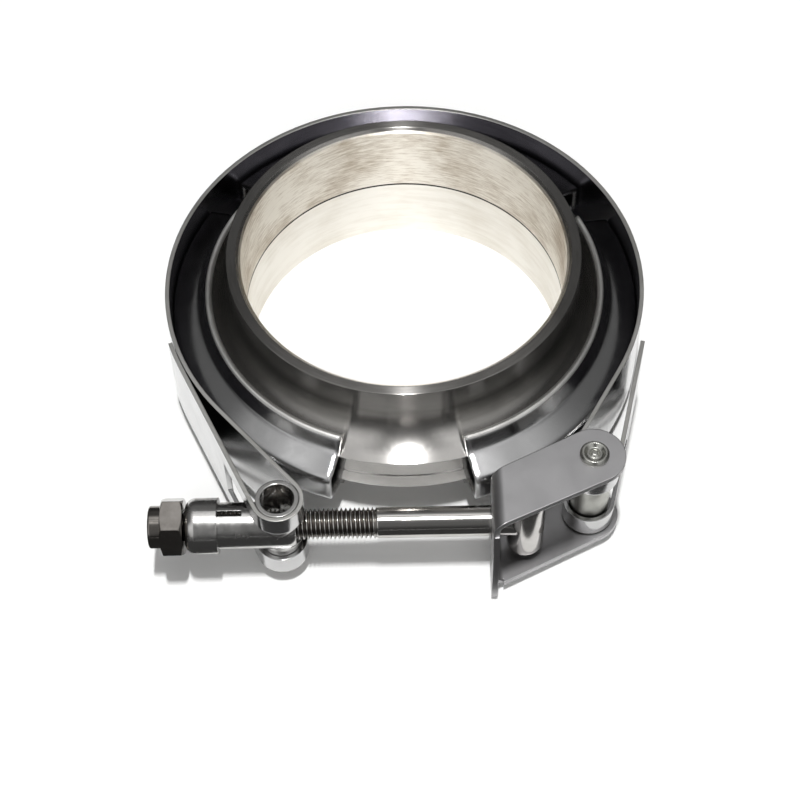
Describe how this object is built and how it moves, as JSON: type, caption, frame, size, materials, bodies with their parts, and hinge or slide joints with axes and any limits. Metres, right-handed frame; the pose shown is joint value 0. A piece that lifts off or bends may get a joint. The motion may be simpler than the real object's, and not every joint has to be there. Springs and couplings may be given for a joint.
{
  "type": "v band clamp",
  "caption": "Quick-release V-band clamp closed on its pair of turned weld flanges: sheet retainers, outer strap, T-bolt in a swivelling trunnion, lock nut and over-centre latch.",
  "frame": {"origin": "on the bore axis, halfway up the outer strap", "axes": "+Z along the bore axis towards the upper, female flange; -Y towards the bolt and the latch; +X from the nut towards the latch"},
  "size_m": [0.1053, 0.1187, 0.0339],
  "materials": {
    "upper_flange": "turned and polished stainless steel, warm turning marks in the bore",
    "lower_flange": "turned and polished stainless steel",
    "v_retainer_left": "rolled and polished stainless sheet",
    "v_retainer_right": "rolled and polished stainless sheet",
    "v_retainer_rear": "rolled and polished stainless sheet",
    "outer_strap": "polished stainless strip",
    "trunnion_sleeve": "tumbled stainless steel",
    "sleeve_collar": "tumbled stainless steel",
    "t_bolt": "smooth stainless shank, rolled thread",
    "lock_nut": "bright stainless steel",
    "nut_insert": "dull stainless steel",
    "latch": "satin stainless sheet",
    "latch_pin": "upset stainless steel",
    "pin_bush": "satin stainless steel"
  },
  "bodies": {
    "band": {"upper_flange": "upper_flange", "lower_flange": "lower_flange", "v_retainer_left": "v_retainer_left", "v_retainer_right": "v_retainer_right", "v_retainer_rear": "v_retainer_rear", "outer_strap": "outer_strap"},
    "trunnion": {"trunnion_sleeve": "trunnion_sleeve", "sleeve_collar": "sleeve_collar"},
    "bolt": {"t_bolt": "t_bolt"},
    "nut": {"lock_nut": "lock_nut", "nut_insert": "nut_insert"},
    "latch": {"latch": "latch", "latch_pin": "latch_pin", "pin_bush": "pin_bush"}
  },
  "joints": [
    {"name": "latch_pivot", "type": "hinge", "parent": "band", "child": "latch", "pos_m": [0.0378, -0.0482, 0], "axis": [0, 0, 1], "range_deg": [0, 170]},
    {"name": "trunnion_swivel", "type": "hinge", "parent": "band", "child": "trunnion", "pos_m": [-0.0264, -0.056, 0], "axis": [0, 0, 1], "range_deg": [-0.6, 3]},
    {"name": "nut_turn", "type": "hinge", "parent": "trunnion", "child": "nut", "pos_m": [-0.046, -0.056, 0], "axis": [-1, 0, 0], "range_deg": [0, 993]},
    {"name": "bolt_slide", "type": "slide", "parent": "trunnion", "child": "bolt", "axis": [1, 0, 0], "range_m": [0, 0.0025]}
  ],
  "couplings": [
    {"joint": "nut_turn", "follows": "bolt_slide", "rad_per_m": 6927.4}
  ]
}
